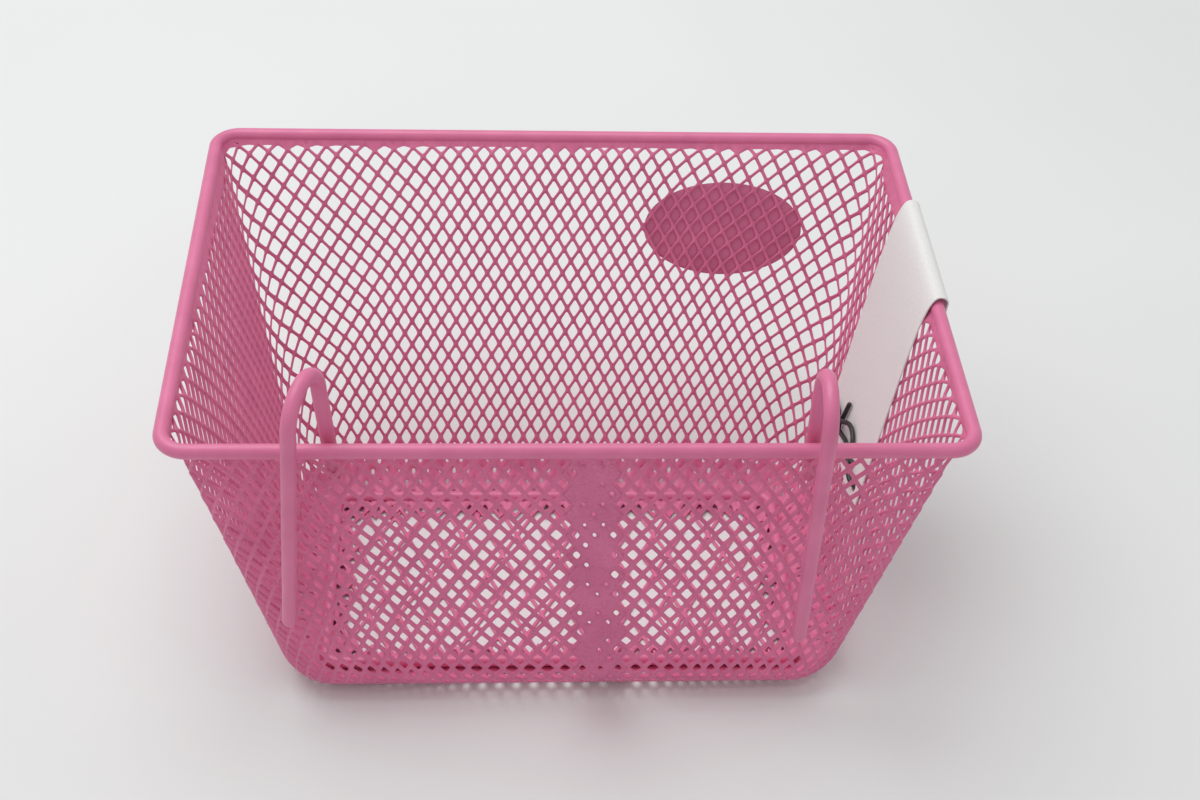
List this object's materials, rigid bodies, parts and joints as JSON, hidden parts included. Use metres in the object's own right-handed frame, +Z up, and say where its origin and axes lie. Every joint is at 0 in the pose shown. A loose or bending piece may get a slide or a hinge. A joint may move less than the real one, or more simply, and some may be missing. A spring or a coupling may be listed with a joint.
{
  "type": "bicycle basket",
  "caption": "Coated wire-mesh bicycle basket with a sloping front wall, a rod rim and floor ring, bent rod hooks for a handlebar, an oval plate and a tied paper card.",
  "frame": {"origin": "middle of the flat floor, on its underside, where the basket stands", "axes": "+Z up; +Y away from the hooks, towards the sloping front wall; +X to the rider's right"},
  "size_m": [0.3182, 0.2429, 0.183],
  "materials": {
    "coating": "pink powder coat with a soft sheen",
    "card": "plain white paper card, no print",
    "tie": "black plastic-covered wire"
  },
  "bodies": {
    "root": {"rim_rod": "coating", "near_wall_mesh": "coating", "far_wall_mesh": "coating", "left_wall_mesh": "coating", "right_wall_mesh": "coating", "near_left_corner_mesh": "coating", "near_right_corner_mesh": "coating", "far_left_corner_mesh": "coating", "far_right_corner_mesh": "coating", "wall_seam": "coating", "floor_mesh": "coating", "floor_ring": "coating", "left_hook": "coating", "right_hook": "coating", "oval_plate": "coating", "card_tag": "card", "tag_tie": "tie"}
  },
  "joints": []
}
